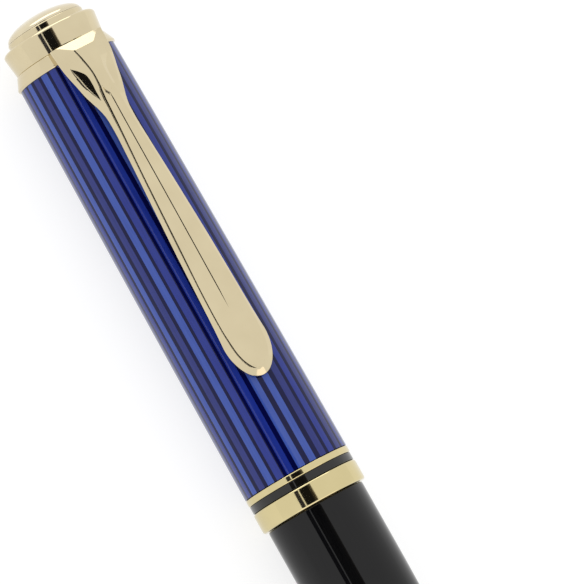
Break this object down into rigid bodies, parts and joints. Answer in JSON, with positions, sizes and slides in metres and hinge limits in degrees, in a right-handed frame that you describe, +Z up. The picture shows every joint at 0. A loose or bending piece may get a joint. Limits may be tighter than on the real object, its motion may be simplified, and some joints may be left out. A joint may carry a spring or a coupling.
{
  "type": "twist ballpoint pen",
  "caption": "Twist-action retractable ballpoint pen with a striped upper half, sprung pocket clip, metal trim rings, black tapered lower barrel and metal nose cone.",
  "frame": {"origin": "on the surface the pen lies on, under the middle of the pen's length", "axes": "+X along the pen towards its writing end, +Z up towards the pocket clip"},
  "size_m": [0.1402, 0.0126, 0.0147],
  "materials": {
    "gold_trim": "polished pale gold plating",
    "striped_resin": "polished, lengthwise blue and black stripes",
    "black_resin": "polished",
    "turned_brass": "machine turned",
    "bright_steel": "bright",
    "refill_steel": "fine brushed",
    "cam_nylon": "satin moulded",
    "plug_plastic": "satin moulded",
    "seal_rubber": "matte",
    "ball_carbide": "lapped"
  },
  "bodies": {
    "upper_half": {"crown_dome": "gold_trim", "crown_rim": "gold_trim", "crown_collar": "gold_trim", "crown_stud": "bright_steel", "top_plug": "turned_brass", "clip_ring": "gold_trim", "upper_barrel": "striped_resin", "upper_liner": "turned_brass", "narrow_trim_ring": "gold_trim", "black_trim_ring": "black_resin", "wide_trim_band": "gold_trim", "cam_sleeve": "cam_nylon", "thrust_washer": "cam_nylon"},
    "clip": {"pocket_clip": "gold_trim"},
    "drive": {"guide_tube": "turned_brass", "retaining_clip": "bright_steel", "friction_ring": "seal_rubber"},
    "refill": {"pusher": "cam_nylon", "cam_pin": "bright_steel", "refill_plug": "plug_plastic", "refill_tube": "refill_steel", "refill_neck": "turned_brass", "refill_ball": "ball_carbide", "refill_spring": "bright_steel"},
    "lower_half": {"lower_barrel": "black_resin", "barrel_insert": "turned_brass", "nose_cone": "gold_trim"}
  },
  "joints": [
    {"name": "clip_flex", "type": "hinge", "parent": "upper_half", "child": "clip", "pos_m": [-0.0648, 0, 0.0122], "axis": [0, -1, 0], "range_deg": [0, 4], "stiffness_Nm_per_rad": 1.5, "springref_deg": -1.15},
    {"name": "twist", "type": "hinge", "parent": "upper_half", "child": "drive", "pos_m": [0, 0, 0.0063], "axis": [-1, 0, 0], "range_deg": [0, 180]},
    {"name": "refill_slide", "type": "slide", "parent": "drive", "child": "refill", "axis": [1, 0, 0], "range_m": [0, 0.0048], "stiffness_N_per_m": 150, "springref_m": -0.005, "deforming": ["refill_spring"]},
    {"name": "barrel_draw", "type": "slide", "parent": "drive", "child": "lower_half", "axis": [1, 0, 0], "range_m": [0, 0.085]}
  ],
  "couplings": [
    {"joint": "twist", "follows": "refill_slide", "rad_per_m": 654.49}
  ]
}
